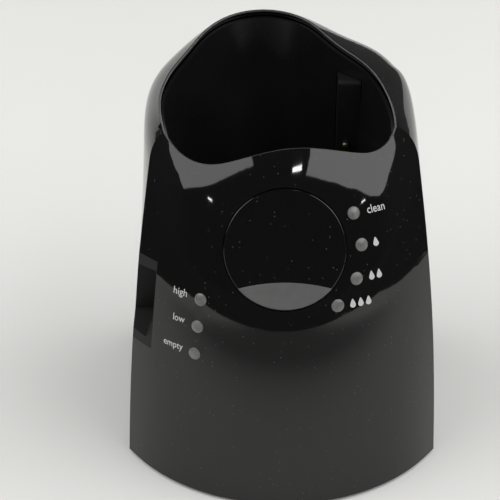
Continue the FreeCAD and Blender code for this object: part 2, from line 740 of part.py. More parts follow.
PUMP_X = -38.0
PUMP_Z = 60.0
MOTOR_R = 7.5
MOTOR_LENGTH = 16.0
PUMP_R = 9.0
PUMP_Y0 = -33.0
PUMP_Y1 = -20.0
SPOUT_Y = -26.5
SPOUT_R = 2.1
SPOUT_TOP = 75.0
HOSE_R = 3.0
HOSE_BORE = 2.15


def make_pump_motor():
    motor = rod(MOTOR_R, V(PUMP_X, PUMP_Y1, PUMP_Z), V(0, 1, 0), MOTOR_LENGTH)
    return motor.fuse(rod(MOTOR_R - 3, V(PUMP_X, PUMP_Y1 + MOTOR_LENGTH, PUMP_Z), V(0, 1, 0), 2))


def make_pump_housing():
    body = rod(PUMP_R, V(PUMP_X, PUMP_Y0, PUMP_Z), V(0, 1, 0), PUMP_Y1 - PUMP_Y0 - 0.1)
    foot = box(PUMP_X - 6, PUMP_X + 6, PUMP_Y0 + 2, PUMP_Y1 - 2, CHASSIS_Z + CHASSIS_T, PUMP_Z - 5)
    spout = rod(SPOUT_R, V(PUMP_X, SPOUT_Y, PUMP_Z), UP, SPOUT_TOP - PUMP_Z)
    body = body.fuse(foot).fuse(spout)
    body = body.cut(rod(PUMP_R - 2, V(PUMP_X, PUMP_Y0 + 2, PUMP_Z), V(0, 1, 0), PUMP_Y1 - PUMP_Y0 - 4))
    return body.cut(rod(SPOUT_R - 0.9, V(PUMP_X, SPOUT_Y, PUMP_Z + 5), UP, 20))


def make_pump_impeller():
    y0 = PUMP_Y0 + 2.6
    length = PUMP_Y1 - PUMP_Y0 - 5.2
    wheel = rod(2.6, V(PUMP_X, y0, PUMP_Z), V(0, 1, 0), length)
    for i in range(5):
        blade = box(PUMP_X - 0.7, PUMP_X + 0.7, y0 + 0.6, y0 + length - 0.6, PUMP_Z + 1.0, PUMP_Z + PUMP_R - 2.7)
        blade.rotate(V(PUMP_X, 0, PUMP_Z), V(0, 1, 0), 72 * i)
        wheel = wheel.fuse(blade)
    return wheel


def make_supply_hose():
    """Hose from the pump's spout up and over to the side of the receptacle."""
    path = Part.BSplineCurve()
    path.interpolate([V(PUMP_X, SPOUT_Y, PUMP_Z + PUMP_R + 0.8), V(PUMP_X - 0.6, SPOUT_Y + 0.6, 78), V(-43, -20, 90),
                      V(-46.6, -11, 98), V(-47, -3, 102), V(-44.6, 3.4, 104)])
    wire = Part.Wire(path.toShape())
    start = path.value(path.FirstParameter)
    tangent = path.tangent(path.FirstParameter)[0]
    outer = Part.Wire(Part.makeCircle(HOSE_R, start, tangent))
    inner = Part.Wire(Part.makeCircle(HOSE_BORE, start, tangent))
    tube = wire.makePipeShell([outer], True, True).cut(wire.makePipeShell([inner], True, True))
    return tube.cut(rod(SPOUT_R, V(PUMP_X, SPOUT_Y, PUMP_Z), UP, SPOUT_TOP - PUMP_Z))


FAN_Y = 46.5
FAN_T = 9.0
FAN_Z = 97.0
FAN_HALF = 14.5
FAN_BORE = 13.2


def make_fan_frame():
    frame = box(-FAN_HALF, FAN_HALF, FAN_Y, FAN_Y + FAN_T, FAN_Z - FAN_HALF, FAN_Z + FAN_HALF)
    frame = frame.cut(rod(FAN_BORE, V(0, FAN_Y + 1.6, FAN_Z), V(0, 1, 0), FAN_T))
    frame = frame.cut(rod(FAN_BORE, V(0, FAN_Y - 1, FAN_Z), V(0, 1, 0), 5))
    spokes = rod(4.4, V(0, FAN_Y, FAN_Z), V(0, 1, 0), 1.4)
    for i in range(3):
        arm = box(-1, 1, FAN_Y, FAN_Y + 1.4, FAN_Z, FAN_Z + FAN_BORE + 0.6)
        arm.rotate(V(0, 0, FAN_Z), V(0, 1, 0), 120 * i + 60)
        spokes = spokes.fuse(arm)
    stalk = rod(1.0, V(0, FAN_Y, FAN_Z), V(0, 1, 0), 6.0)
    return frame.fuse(spokes).fuse(stalk)


def make_fan_rotor():
    y0 = FAN_Y + 2.0
    rotor = rod(5.2, V(0, y0, FAN_Z), V(0, 1, 0), 6.0)
    for i in range(7):
        blade = box(-0.5, 0.5, y0 + 0.6, y0 + 5.4, FAN_Z + 4.0, FAN_Z + FAN_BORE - 0.6)
        blade.rotate(V(0, y0 + 3, FAN_Z + 8), V(0, 0, 1), 32)
        blade.rotate(V(0, 0, FAN_Z), V(0, 1, 0), 360.0 / 7 * i)
        rotor = rotor.fuse(blade)
    return rotor.cut(rod(1.0 + RUN_FIT, V(0, y0 - 1, FAN_Z), V(0, 1, 0), 6.0))


def make_main_board():
    board = box(17, 38, 47.5, 49.1, 67.0, 104.0)
    chips = box(22, 30, 49.1, 51.0, 70, 78)
    for block in (box(31, 36, 49.1, 52.4, 70, 76), box(24, 36, 49.1, 53.4, 86, 94)):
        chips = chips.fuse(block)
    return board.fuse(chips)


def make_socket_pins():
    y1 = back_wall_y(SOCKET_Z[0]) - 0.3
    x = (SOCKET_X[0] + SOCKET_X[1]) / 2
    z = (SOCKET_Z[0] + SOCKET_Z[1]) / 2
    return [rod(0.9, V(x + dx, y1 - 13.0, z), V(0, 1, 0), 8.0) for dx in (-2.2, 2.2)]


def make_power_socket():
    y1 = back_wall_y(SOCKET_Z[0]) - 0.3
    g = PANEL_GAP
    body = box(SOCKET_X[0] + g, SOCKET_X[1] - g, 48.0, y1, SOCKET_Z[0] + g, SOCKET_Z[1] - g)
    recess = box(SOCKET_X[0] + 2.0, SOCKET_X[1] - 2.0, y1 - 11, y1 + 1, SOCKET_Z[0] + 2.0, SOCKET_Z[1] - 2.0)
    body = body.cut(recess)
    for pin in make_socket_pins():
        body = body.cut(pin)
    return body


# ---- lift button and latch
def make_lift_button():
    y1 = back_wall_y(LIFT_Z0) + 0.9
    cap = box(-LIFT_X, LIFT_X, y1 - 7.0, y1, LIFT_Z0, LIFT_Z1)
    rear = [e for e in cap.Edges if abs(e.BoundBox.YMin - y1) < 0.01 and abs(e.BoundBox.YMax - y1) < 0.01]
    return cap.makeFillet(0.8, rear)


def make_latch_bar():
    y1 = back_wall_y(LIFT_Z0) + 0.9 - 7.0
    bar = box(-CATCH_X[1], CATCH_X[1], BAR_Y[0], BAR_Y[1], BAR_Z[0], BAR_Z[1])
    stem = box(-4, 4, BAR_Y[1], y1, BAR_Z[0], BAR_Z[1])
    upright = box(-4, 4, y1 - 3.0, y1, BAR_Z[0], LIFT_Z1 - 1.5)
    return bar.fuse(stem).fuse(upright)


# ---- cartridge
def make_cartridge_tub():
    """Open box with a rear face that carries on the curve of the housing's back."""
    w = CART_W / 2
    top = CART_FLOOR + CART_H - 2.4
    tub = rounded_box(-w, w, CART_FRONT, 62.0, CART_FLOOR, top, 7)
    t = CART_WALL
    hollow = rounded_box(-w + t, w - t, CART_FRONT + t, 60.0, CART_FLOOR + t, top + 5, 5)
    tub = tub.cut(hollow)
    face = slab(CART_FLOOR, CART_FLOOR + CART_H, 0.2).common(box(-w, w, 55.0, 80, CART_FLOOR, CART_FLOOR + CART_H))
    face = face.cut(rounded_box(-w + t, w - t, 30, 60.0, CART_FLOOR + t, 60, 5))
    tub = tub.fuse(face)
    grip = rounded_box(-17, 17, 62.5, 90, 14.0, 34.0, 3)
    return tub.cut(grip)


def make_cartridge_lid():
    w = CART_W / 2 - 0.0
    z0 = CART_FLOOR + CART_H - 2.3
    lid = rounded_box(-w, w, CART_FRONT, 54.8, z0, CART_FLOOR + CART_H, 7)
    lid = lid.cut(rod(7.0, V(CRADLE_X, CRADLE_Y, 30), UP, 30))
    for x in (-30.0, 30.0):
        lid = lid.fuse(rounded_box(x - 12, x + 12, -20, 40, CART_FLOOR + CART_H, CART_FLOOR + CART_H + 0.8, 4))
    return lid


def make_cartridge_port():
    z0 = CART_FLOOR + CART_H - 6
    port = rod(6.9, V(CRADLE_X, CRADLE_Y, z0), UP, 6)
    port = port.fuse(rod(9.0, V(CRADLE_X, CRADLE_Y, CART_FLOOR + CART_H + 0.05), UP, PORT_COLLAR))
    return port.cut(rod(3.4, V(CRADLE_X, CRADLE_Y, z0 - 1), UP, 12))


def make_filter_pad():
    z0 = CART_FLOOR + CART_WALL + 0.2
    return rounded_box(-42, 42, CART_FRONT + 6, 50, z0, z0 + 14, 5)


# ---- base
FEET = ((-44.0, -30.0), (44.0, -30.0), (-44.0, 52.0), (44.0, 52.0))
FOOT_R = 6.5


def make_base_tray():
    tray = slab(FOOT_HEIGHT, FOOT_HEIGHT + TRAY_FLOOR, WALL + 0.8)
    w = CART_W / 2 + SLIDE_GAP
    for side in (-1, 1):
        x0, x1 = sorted((side * w, side * (w + 1.2)))
        tray = tray.fuse(box(x0, x1, CART_FRONT, 48.0, 3.0, 16.0))
        tray = tray.fuse(rod(5.0, V(side * (POST_X), POST_Y, 3.0), UP, 5.0).common(slab(2.0, 12.0, WALL + 1.0)))
        x0, x1 = sorted((side * CATCH_X[0], side * CATCH_X[1]))
        tray = tray.fuse(box(x0, x1, CATCH_Y[0], CATCH_Y[1], 3.0, CATCH_TOP + 2.0))
        tray = tray.fuse(box(x0, x1, CATCH_Y[0] - LIP_REACH, CATCH_Y[0], CATCH_TOP, CATCH_TOP + 2.0))
        tray = tray.cut(rod(POST_R, V(side * POST_X, POST_Y, 2.5), UP, 10))
    for x, y in FEET:
        tray = tray.cut(rod(FOOT_R + 0.1, V(x, y, 0), UP, FOOT_HEIGHT + 1.2))
    tray = tray.fuse(box(-30, 30, CART_FRONT - 5, CART_FRONT - 1, 3.0, 12.0))
    return tray


def make_feet():
    return [rod(FOOT_R, V(x, y, 0), UP, FOOT_HEIGHT + 1.1) for x, y in FEET]


def make_guide_posts():
    posts = []
    for side in (-1, 1):
        post = rod(POST_R, V(side * POST_X, POST_Y, 2.6), UP, POST_TOP - 2.6)
        top = [e for e in post.Edges if e.BoundBox.ZMin > POST_TOP - 0.01]
        posts.append(post.makeFillet(0.8, top))
    return posts


SPRING_R = 3.0
SPRING_WIRE = 0.45
SPRING_Z0 = 8.1
SPRING_TURNS = 6


def make_lift_springs():
    springs = []
    height = SLEEVE_BOTTOM - SPRING_Z0 - 2 * SPRING_WIRE - 0.6
    for side in (-1, 1):
        helix = Part.makeHelix(height / SPRING_TURNS, height, SPRING_R)
        section = Part.Wire(Part.makeCircle(SPRING_WIRE, V(SPRING_R, 0, 0), V(0, 1, 0)))
        coil = Part.Wire(helix).makePipeShell([section], True, True)
        coil.translate(V(side * POST_X, POST_Y, SPRING_Z0 + SPRING_WIRE + 0.1))
        springs.append(coil)
    return springs


def main():
    skin = make_skin()
    save("outer_shell", make_outer_shell(skin))
    save("rear_cover", make_rear_cover(skin))
    save("panel_screws", make_panel_screws())
    save("start_button", make_start_button())
    save("button_guide", make_button_guide())
    save("display_board", make_display_board())
    save("start_switch", make_start_switch())
    for name, (x, z) in lens_spots().items():
        save("lens_" + name, make_lens(x, z))
    save("light_guides", make_light_guides())
    save("level_board", make_level_board())
    save("level_leds", make_level_leds())
    save("cradle", make_cradle().cut(block_pocket()))
    save("contact_block", make_contact_block())
    for name, pin in zip(("lower", "upper"), make_contact_pins()):
        save("contact_pin_" + name, pin)
    save("cleaning_bowl", make_cleaning_bowl())
    save("drain_nozzle", make_drain_nozzle())
    save("chassis", make_chassis())
    save("chassis_screws", make_chassis_screws())
    save("pump_motor", make_pump_motor())
    save("pump_housing", make_pump_housing())
    save("pump_impeller", make_pump_impeller())
    save("supply_hose", make_supply_hose())
    save("fan_frame", make_fan_frame())
    save("fan_rotor", make_fan_rotor())
    save("main_board", make_main_board())
    save("power_socket", make_power_socket())
    save("socket_pins", make_socket_pins())
    save("lift_button", make_lift_button())
    save("latch_bar", make_latch_bar())
    save("cartridge_tub", make_cartridge_tub())
    save("cartridge_lid", make_cartridge_lid())
    save("cartridge_port", make_cartridge_port())
    save("filter_pad", make_filter_pad())
    save("base_tray", make_base_tray())
    save("rubber_feet", make_feet())
    save("guide_posts", make_guide_posts())
    save("lift_springs", make_lift_springs())


main()
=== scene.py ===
import bpy
import bmesh
import json
import math
from mathutils import Vector, Matrix


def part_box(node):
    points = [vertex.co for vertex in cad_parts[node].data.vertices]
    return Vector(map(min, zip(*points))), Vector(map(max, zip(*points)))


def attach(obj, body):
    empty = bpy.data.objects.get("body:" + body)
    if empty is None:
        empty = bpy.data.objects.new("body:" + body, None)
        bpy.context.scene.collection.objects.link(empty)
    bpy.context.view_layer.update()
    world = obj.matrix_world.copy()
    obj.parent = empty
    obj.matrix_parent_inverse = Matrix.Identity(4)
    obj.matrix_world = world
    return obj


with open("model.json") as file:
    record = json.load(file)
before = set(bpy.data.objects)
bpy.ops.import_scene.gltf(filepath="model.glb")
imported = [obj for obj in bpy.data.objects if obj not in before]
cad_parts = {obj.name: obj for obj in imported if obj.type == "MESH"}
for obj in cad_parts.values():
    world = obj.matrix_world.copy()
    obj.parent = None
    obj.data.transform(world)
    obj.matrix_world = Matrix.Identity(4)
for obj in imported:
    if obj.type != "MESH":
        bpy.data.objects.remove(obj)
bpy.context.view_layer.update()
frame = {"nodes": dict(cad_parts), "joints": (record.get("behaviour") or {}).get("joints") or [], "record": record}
nodes = frame["nodes"]
scene = bpy.context.scene
scene.view_settings.view_transform = "Standard"

# ---- Studio table, backdrop and lights
# A matt white table that curves up behind, under two large soft panels with a dark gap between them.
# A dark curtain in front shows only in gloss, as the unlit half of the studio does.


class Sock:
    """A shader socket that can be used in sums, so maths on it adds Math nodes."""

    def __init__(self, tree, out):
        self.tree = tree
        self.out = out

    def math(self, op, other=None, swap=False):
        values = [self, other] if not swap else [other, self]
        if other is None:
            values = [self]
        return self.tree.node("ShaderNodeMath", {"operation": op}, dict(enumerate(values)))

    def __add__(self, o): return self.math("ADD", o)
    def __radd__(self, o): return self.math("ADD", o, True)
    def __sub__(self, o): return self.math("SUBTRACT", o)
    def __rsub__(self, o): return self.math("SUBTRACT", o, True)
    def __mul__(self, o): return self.math("MULTIPLY", o)
    def __rmul__(self, o): return self.math("MULTIPLY", o, True)
    def __truediv__(self, o): return self.math("DIVIDE", o)
    def __rtruediv__(self, o): return self.math("DIVIDE", o, True)
    def __pow__(self, o): return self.math("POWER", o)
    def __neg__(self): return self.math("MULTIPLY", -1.0)
    def __gt__(self, o): return self.math("GREATER_THAN", o)
    def __lt__(self, o): return self.math("LESS_THAN", o)


class Finish:
    """One material with its node tree."""

    def __init__(self, name):
        self.material = bpy.data.materials.new(name)
        self.material.use_nodes = True
        self.nodes = self.material.node_tree.nodes
        self.links = self.material.node_tree.links
        self.nodes.clear()

    def node(self, kind, settings=None, inputs=None, output=0):
        n = self.nodes.new(kind)
        for key, value in (settings or {}).items():
            if key == "stops":
                ramp = n.color_ramp
                while len(ramp.elements) < len(value):
                    ramp.elements.new(0.5)
                for element, (at, colour) in zip(ramp.elements, value):
                    element.position = at
                    element.color = colour
            else:
                setattr(n, key, value)
        for key, value in (inputs or {}).items():
            if isinstance(value, Sock):
                self.links.new(value.out, n.inputs[key])
            elif value is not None:
                n.inputs[key].default_value = value
        return Sock(self, n.outputs[output])

    def place(self, scale=1.0):
        """Position on the object in metres times scale."""
        at = self.node("ShaderNodeTexCoord", output=3)
        return self.node("ShaderNodeVectorMath", {"operation": "SCALE"}, {0: at, "Scale": scale})

    def noise(self, scale, detail=3.0, rough=0.5):
        return self.node("ShaderNodeTexNoise", {}, {"Vector": self.place(), "Scale": scale, "Detail": detail,
                                                   "Roughness": rough})

    def along(self, direction, start=(0, 0, 0)):
        """Distance in metres from start along a direction, on the object."""
        offset = self.node("ShaderNodeVectorMath", {"operation": "SUBTRACT"}, {0: self.place(), 1: tuple(start)})
        return self.node("ShaderNodeVectorMath", {"operation": "DOT_PRODUCT"}, {0: offset, 1: tuple(direction)}, output=1)

    def mix(self, factor, a, b):
        return self.node("ShaderNodeMix", {"data_type": "RGBA"}, {0: factor, 6: a, 7: b}, output=2)

    def bump(self, height, strength, distance):
        return self.node("ShaderNodeBump", {}, {"Height": height, "Strength": strength, "Distance": distance})

    def shader(self, **inputs):
        return self.node("ShaderNodeBsdfPrincipled", {}, {k.replace("_", " "): v for k, v in inputs.items()})

    def blend(self, factor, a, b):
        return self.node("ShaderNodeMixShader", {}, {0: factor, 1: a, 2: b})

    def finish(self, shader):
        out = self.nodes.new("ShaderNodeOutputMaterial")
        self.links.new(shader.out, out.inputs[0])
        return self.material

    def surface(self, **inputs):
        return self.finish(self.shader(**inputs))


def grey(v):
    return (v, v, v, 1.0)


def mesh_piece(name, verts, faces, smooth=True):
    mesh = bpy.data.meshes.new(name)
    mesh.from_pydata(verts, [], faces)
    mesh.update()
    piece = bpy.data.objects.new(name, mesh)
    scene.collection.objects.link(piece)
    for face in mesh.polygons:
        face.use_smooth = smooth
    return piece


table_white = Finish("table_white")
table_white.surface(Base_Color=table_white.mix(table_white.noise(3.0), (0.592, 0.590, 0.578, 1.0), (0.606, 0.604, 0.592, 1.0)), Roughness=0.9,
                    Specular_IOR_Level=0.1)
FRONT_EDGE = -0.98
sweep = []
for y, z in ((FRONT_EDGE, 0.0), (0.0, 0.0), (0.6, 0.0), (0.9, 0.01), (1.2, 0.06), (1.5, 0.2), (1.7, 0.45), (1.8, 0.8),
             (1.85, 1.6), (1.86, 2.4)):
    sweep += [(-3.0, y, z), (3.0, y, z)]
backdrop = mesh_piece("studio_table", sweep, [(i, i + 1, i + 3, i + 2) for i in range(0, len(sweep) - 2, 2)])
backdrop.data.materials.append(table_white.material)

dark_cloth = Finish("dark_cloth")
dark_cloth.surface(Base_Color=grey(0.03), Roughness=1.0, Specular_IOR_Level=0.0)
PLAN = [(-0.50, 0.25), (-0.50, 0.0), (-0.62, -0.3), (-0.85, -0.62), (-0.75, -0.88), (-0.4, -0.96), (0.0, -0.98),
        (0.4, -0.96), (0.75, -0.88), (0.88, -0.6), (0.62, -0.25), (0.46, 0.05), (0.46, 0.3)]
rings = [[(x, y, 0.0008) for x, y in PLAN], [(x, y, 0.10) for x, y in PLAN],
         [(x * 4.0, y * 4.0 if y < 0 else y, 0.30) for x, y in PLAN], [(x * 4.2, y * 4.2 if y < 0 else y, 3.4) for x, y in PLAN],
         [(x * 0.2, y * 0.2 + 0.1, 3.5) for x, y in PLAN]]
verts = [v for ring in rings for v in ring]
n = len(PLAN)
faces = [(r * n + i, r * n + i + 1, (r + 1) * n + i + 1, (r + 1) * n + i) for r in range(len(rings) - 1) for i in range(n - 1)]
curtain = mesh_piece("studio_curtain", verts, faces)
curtain.data.materials.append(dark_cloth.material)
for flag in ("visible_camera", "visible_diffuse", "visible_shadow", "visible_transmission"):
    setattr(curtain, flag, False)

back_cloth = Finish("back_cloth")
back_cloth.surface(Base_Color=grey(0.09), Roughness=1.0, Specular_IOR_Level=0.0)
rear = mesh_piece("studio_rear_cloth", [(-4, 0.95, 0.14), (4, 0.95, 0.14), (4, 1.05, 3.4), (-4, 1.05, 3.4), (4, 0.2, 3.6),
                                        (-4, 0.2, 3.6)], [(0, 1, 2, 3), (3, 2, 4, 5)])
rear.data.materials.append(back_cloth.material)
for flag in ("visible_camera", "visible_diffuse", "visible_shadow", "visible_transmission"):
    setattr(rear, flag, False)

# Painted shade: a dark sheet on the table in front, seen only in gloss, stands in for the shade that falls on the
# table before the object. It is darkest in the middle towards the camera and fades out to the sides and towards the
# object.
painted_table_shade = Finish("painted_table_shade")
reach = painted_table_shade.along((1, 0, 0))
back = painted_table_shade.along((0, 1, 0))
fade_across = painted_table_shade.node("ShaderNodeMapRange", {"interpolation_type": "SMOOTHSTEP"},
                             {"Value": reach * reach, 1: 0.0, 2: 0.30, 3: 0.70, 4: 0.0})
fade_back = painted_table_shade.node("ShaderNodeMapRange", {"interpolation_type": "SMOOTHSTEP"},
                           {"Value": back, 1: -0.085, 2: -0.34, 3: 0.0, 4: 1.0})
fade = fade_across * fade_back
painted_table_shade.surface(Base_Color=grey(0.02), Roughness=1.0, Specular_IOR_Level=0.0, Alpha=fade)
table_shade_piece = mesh_piece("painted_shade_sheet", [(-0.56, -0.97, 0.001), (0.56, -0.97, 0.001), (0.56, -0.08, 0.001), (-0.56, -0.08, 0.001)],
                 [(0, 1, 2, 3)])
table_shade_piece.data.materials.append(painted_table_shade.material)
for flag in ("visible_camera", "visible_diffuse", "visible_shadow", "visible_transmission"):
    setattr(table_shade_piece, flag, False)

PANEL_HEIGHT = 1.25


def soft_panel(name, x0, x1, y0, y1, strength):
    """A level soft panel overhead."""
    lamp = bpy.data.lights.new(name, "AREA")
    lamp.shape = "RECTANGLE"
    lamp.size = x1 - x0
    lamp.size_y = y1 - y0
    lamp.energy = strength * math.pi * (x1 - x0) * (y1 - y0)
    piece = bpy.data.objects.new(name, lamp)
    piece.location = ((x0 + x1) / 2, (y0 + y1) / 2, PANEL_HEIGHT)
    piece.visible_camera = False
    scene.collection.objects.link(piece)
    return piece


left_panel = soft_panel("left_panel", -3.35, -0.62, -1.45, 0.9, 2.75)
left_panel.rotation_euler = (0, 0, math.radians(9))
right_panel = soft_panel("right_panel", 0.52, 3.2, -1.62, 0.9, 3.0)
right_panel.rotation_euler = (0, 0, math.radians(-9))


def small_lamp(name, direction, width, height, strength, reach=2.2):
    """A small bare lamp far off, seen as a bright point in the gloss."""
    lamp = bpy.data.lights.new(name, "AREA")
    lamp.shape = "RECTANGLE"
    lamp.size = width
    lamp.size_y = height
    lamp.energy = strength * math.pi * width * height
    piece = bpy.data.objects.new(name, lamp)
    away = Vector(direction).normalized()
    piece.location = Vector((0, 0, 0.12)) + away * reach
    piece.rotation_euler = away.to_track_quat("Z", "Y").to_euler()
    piece.visible_camera = False
    scene.collection.objects.link(piece)
    return piece


small_lamp("lamp_middle", (0.100, -0.752, 0.651), 0.18, 0.045, 30.0)
small_lamp("lamp_left", (-0.634, -0.65, 0.418), 0.09, 0.028, 25.0)
small_lamp("lamp_right", (0.694, -0.614, 0.377), 0.08, 0.028, 25.0)
small_lamp("lamp_far_left", (-0.925, -0.321, 0.203), 0.06, 0.05, 25.0)
small_lamp("lamp_far_right", (0.941, -0.286, 0.183), 0.06, 0.05, 25.0)

world = bpy.data.worlds.new("studio_world")
world.use_nodes = True
world.node_tree.nodes["Background"].inputs["Color"].default_value = (0.80, 0.80, 0.79, 1.0)
world.node_tree.nodes["Background"].inputs["Strength"].default_value = 0.6
scene.world = world

camera = bpy.data.cameras.new("camera")
camera.lens = 113.7
camera.sensor_width = 36.0
camera_piece = bpy.data.objects.new("camera", camera)
camera_piece.location = (-0.01325, -0.5512, 0.4257)
camera_piece.rotation_euler = (math.radians(90 - 32.14), 0, 0)
scene.collection.objects.link(camera_piece)
scene.camera = camera_piece


# ---- Housing and start button
# The tall housing and its round button, moulded in black plastic and polished. The housing is screwed to the
# inner plate from below. The thumb notch is left as moulded, and the button's foot has a lighter grey matt field.

def give(material, *names):
    for name in names:
        nodes[name].data.materials.clear()
        nodes[name].data.materials.append(material)
        for face in nodes[name].data.polygons:
            face.material_index = 0


def specks(f, scale, size, share):
    """Scattered dust: 1 on a speck and 0 elsewhere."""
    near = f.node("ShaderNodeTexVoronoi", {"feature": "F1"}, {"Vector": f.place(), "Scale": scale})
    pick = f.node("ShaderNodeTexVoronoi", {"feature": "F1"}, {"Vector": f.place(), "Scale": scale}, output=1)
    chance = f.node("ShaderNodeSeparateColor", {}, {0: pick})
    return (near < size) * (chance > share)


def polished(f):
    dust = specks(f, 760.0, 0.11, 0.84)
    haze = f.noise(60.0, 4.0)
    return f.shader(Base_Color=f.mix(dust * 0.22, grey(0.004), grey(0.5)), Roughness=0.025 + haze * 0.03 + dust * 0.3,
                    IOR=1.48)


shell = Finish("housing_black")
grip = [o for o in frame["record"]["physics"]["openings"] if o["name"] == "finger_notch_left"][0]["box_m"]
NOTCH_TOP = grip[1][2] + 0.0068
NOTCH_FOOT = grip[0][2] - 0.0080
NOTCH_INNER = grip[1][0] + 0.0049
NOTCH_BACK = grip[1][1] + 0.0040
height = shell.along((0, 0, 1))
inside = ((shell.along((1, 0, 0)) < (height - NOTCH_TOP) * 0.095 + NOTCH_INNER) * (shell.along((0, 1, 0)) < NOTCH_BACK)
          * (height < NOTCH_TOP) * (height > NOTCH_FOOT))
pits = shell.noise(1500.0, 3.0)
moulded = shell.shader(Base_Color=shell.mix(pits, grey(0.006), grey(0.014)), Roughness=0.5 + pits * 0.15,
                       Specular_IOR_Level=0.25, Normal=shell.bump(pits, 0.2, 0.0001))
give(shell.finish(shell.blend(inside, polished(shell), moulded)), "outer_shell")

cap = Finish("button_black")
press = [j for j in frame["joints"] if j["name"] == "start_press"][0]["axis"]
cap_up = Vector((0, press[2], -press[1])).normalized()
if cap_up.z < 0:
    cap_up = -cap_up
cap_low, cap_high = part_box("start_button")
CAP_R = (cap_high[0] - cap_low[0]) / 2
cap_middle = (0, cap_low[1] + CAP_R * abs(cap_up.y), cap_high[2] - CAP_R * cap_up.z)
# A round lighter grey matt field at the foot of the button's face.
FIELD_R = 0.075
FIELD_TOP = 0.0126
across = cap.along((1, 0, 0), cap_middle)
down = cap.along(cap_up, cap_middle) + FIELD_R + FIELD_TOP
field = (across * across + down * down < FIELD_R ** 2) * (cap.along(tuple(-Vector(press).normalized()), cap_middle) > -0.004)
pale_field_mottle = cap.noise(300.0, 3.0)
pale_matt_field = cap.shader(Base_Color=cap.mix(pale_field_mottle, grey(0.066), grey(0.086)), Roughness=0.38 + pale_field_mottle * 0.1)
give(cap.finish(cap.blend(field, polished(cap), pale_matt_field)), "start_button")

# ---- Rear panel, socket, keys and base
# Parts moulded in the same black but with a fine matt texture. The rear panel is held by two screws, and the
# tray stands on four rubber feet.
satin = Finish("satin_black")
grain = satin.noise(900.0, 4.0)
satin_black = satin.surface(Base_Color=satin.mix(grain, grey(0.010), grey(0.018)), Roughness=0.32 + grain * 0.1,
                            Normal=satin.bump(grain, 0.15, 0.0002))
give(satin_black, "rear_cover", "power_socket", "fan_frame", "fan_rotor", "base_tray", "button_guide")

key = Finish("key_grey")
rub = key.noise(700.0, 4.0)
wear = key.noise(90.0, 3.0)
give(key.surface(Base_Color=key.mix(rub, grey(0.045), grey(0.065)), Roughness=0.28 + wear * 0.16,
                 Normal=key.bump(rub, 0.12, 0.0002)), "lift_button", "latch_bar")

rubber = Finish("rubber_black")
bloom = rubber.noise(220.0, 5.0)
give(rubber.surface(Base_Color=rubber.mix(bloom, grey(0.012), grey(0.03)), Roughness=0.75 + bloom * 0.15,
                    Normal=rubber.bump(bloom, 0.25, 0.0002)), "rubber_feet")

# ---- Receptacle
# The dark glossy well that the shaver stands in, with its contact block and the washing bowl at the bottom.
# The well hangs from the rim, and the block and bowl clip into it.
liner = Finish("liner_black")
scuff = liner.noise(40.0, 4.0)
give(liner.surface(Base_Color=liner.mix(scuff, grey(0.003), grey(0.006)), Roughness=0.22 + scuff * 0.14,
                   Specular_IOR_Level=0.35), "cradle")

block = Finish("block_black")
dull = block.noise(500.0, 3.0)
give(block.surface(Base_Color=block.mix(dull, grey(0.003), grey(0.006)), Roughness=0.5 + dull * 0.1,
                   Specular_IOR_Level=0.2, Normal=block.bump(dull, 0.1, 0.0001)), "contact_block")

bowl = Finish("bowl_black")
stain = bowl.noise(120.0, 5.0)
give(bowl.surface(Base_Color=bowl.mix(stain, (0.006, 0.007, 0.009, 1), (0.016, 0.019, 0.024, 1)),
                  Roughness=0.12 + stain * 0.25), "cleaning_bowl", "drain_nozzle")

contact = Finish("contact_metal")
tarnish = contact.noise(2600.0, 4.0)
give(contact.surface(Base_Color=contact.mix(tarnish, (0.20, 0.17, 0.12, 1), (0.34, 0.29, 0.20, 1)), Metallic=1.0,
                     Roughness=0.3 + tarnish * 0.2), "contact_pin_lower", "contact_pin_upper", "socket_pins")

# ---- Lights on the front
# Round lenses in milky plastic, pressed into holes in the housing. Clear rods and small white lights stand
# behind them on two boards.
lens = Finish("lens_plastic")
cloud = lens.noise(520.0, 3.0)
fine = lens.noise(2500.0, 2.0)
give(lens.surface(Base_Color=lens.mix(cloud, (0.055, 0.057, 0.055, 1), (0.17, 0.17, 0.165, 1)), Roughness=0.2 + fine * 0.15,
                  Normal=lens.bump(fine, 0.15, 0.0001)), *[n for n in nodes if n.startswith("lens_")])

clear = Finish("light_rod")
ripple = clear.noise(400.0, 2.0)
give(clear.surface(Base_Color=clear.mix(ripple, grey(0.75), grey(0.85)), Roughness=0.05 + ripple * 0.08,
                   Transmission_Weight=0.9), "light_guides")

led = Finish("led_white")
phosphor = led.noise(1800.0, 2.0)
give(led.surface(Base_Color=led.mix(phosphor, (0.62, 0.60, 0.45, 1), (0.78, 0.77, 0.66, 1)), Roughness=0.4 + phosphor * 0.1),
     "level_leds")

board = Finish("board_green")
weave = board.node("ShaderNodeTexBrick", {}, {"Vector": board.place(), "Color1": (0.006, 0.06, 0.028, 1),
                                             "Color2": (0.008, 0.075, 0.034, 1), "Mortar": (0.02, 0.12, 0.06, 1),
                                             "Scale": 450.0})
gloss = board.noise(300.0, 3.0)
give(board.surface(Base_Color=weave, Roughness=0.25 + gloss * 0.15), "display_board", "level_board", "main_board")

switch = Finish("switch_metal")
brush = switch.noise(1200.0, 3.0)
give(switch.surface(Base_Color=switch.mix(brush, grey(0.45), grey(0.6)), Metallic=0.9, Roughness=0.3 + brush * 0.15),
     "start_switch")

# ---- Chassis, pump and fan
# The plate that carries the works, moulded in dark grey. The pump draws fluid up to the bowl, and the fan dries.
inner = Finish("inner_grey")
flow = inner.noise(60.0, 4.0)
tooth = inner.noise(1200.0, 3.0)
give(inner.surface(Base_Color=inner.mix(flow, grey(0.10), grey(0.125)), Roughness=0.42 + tooth * 0.1,
                   Normal=inner.bump(tooth, 0.12, 0.0001)), "chassis", "pump_housing")

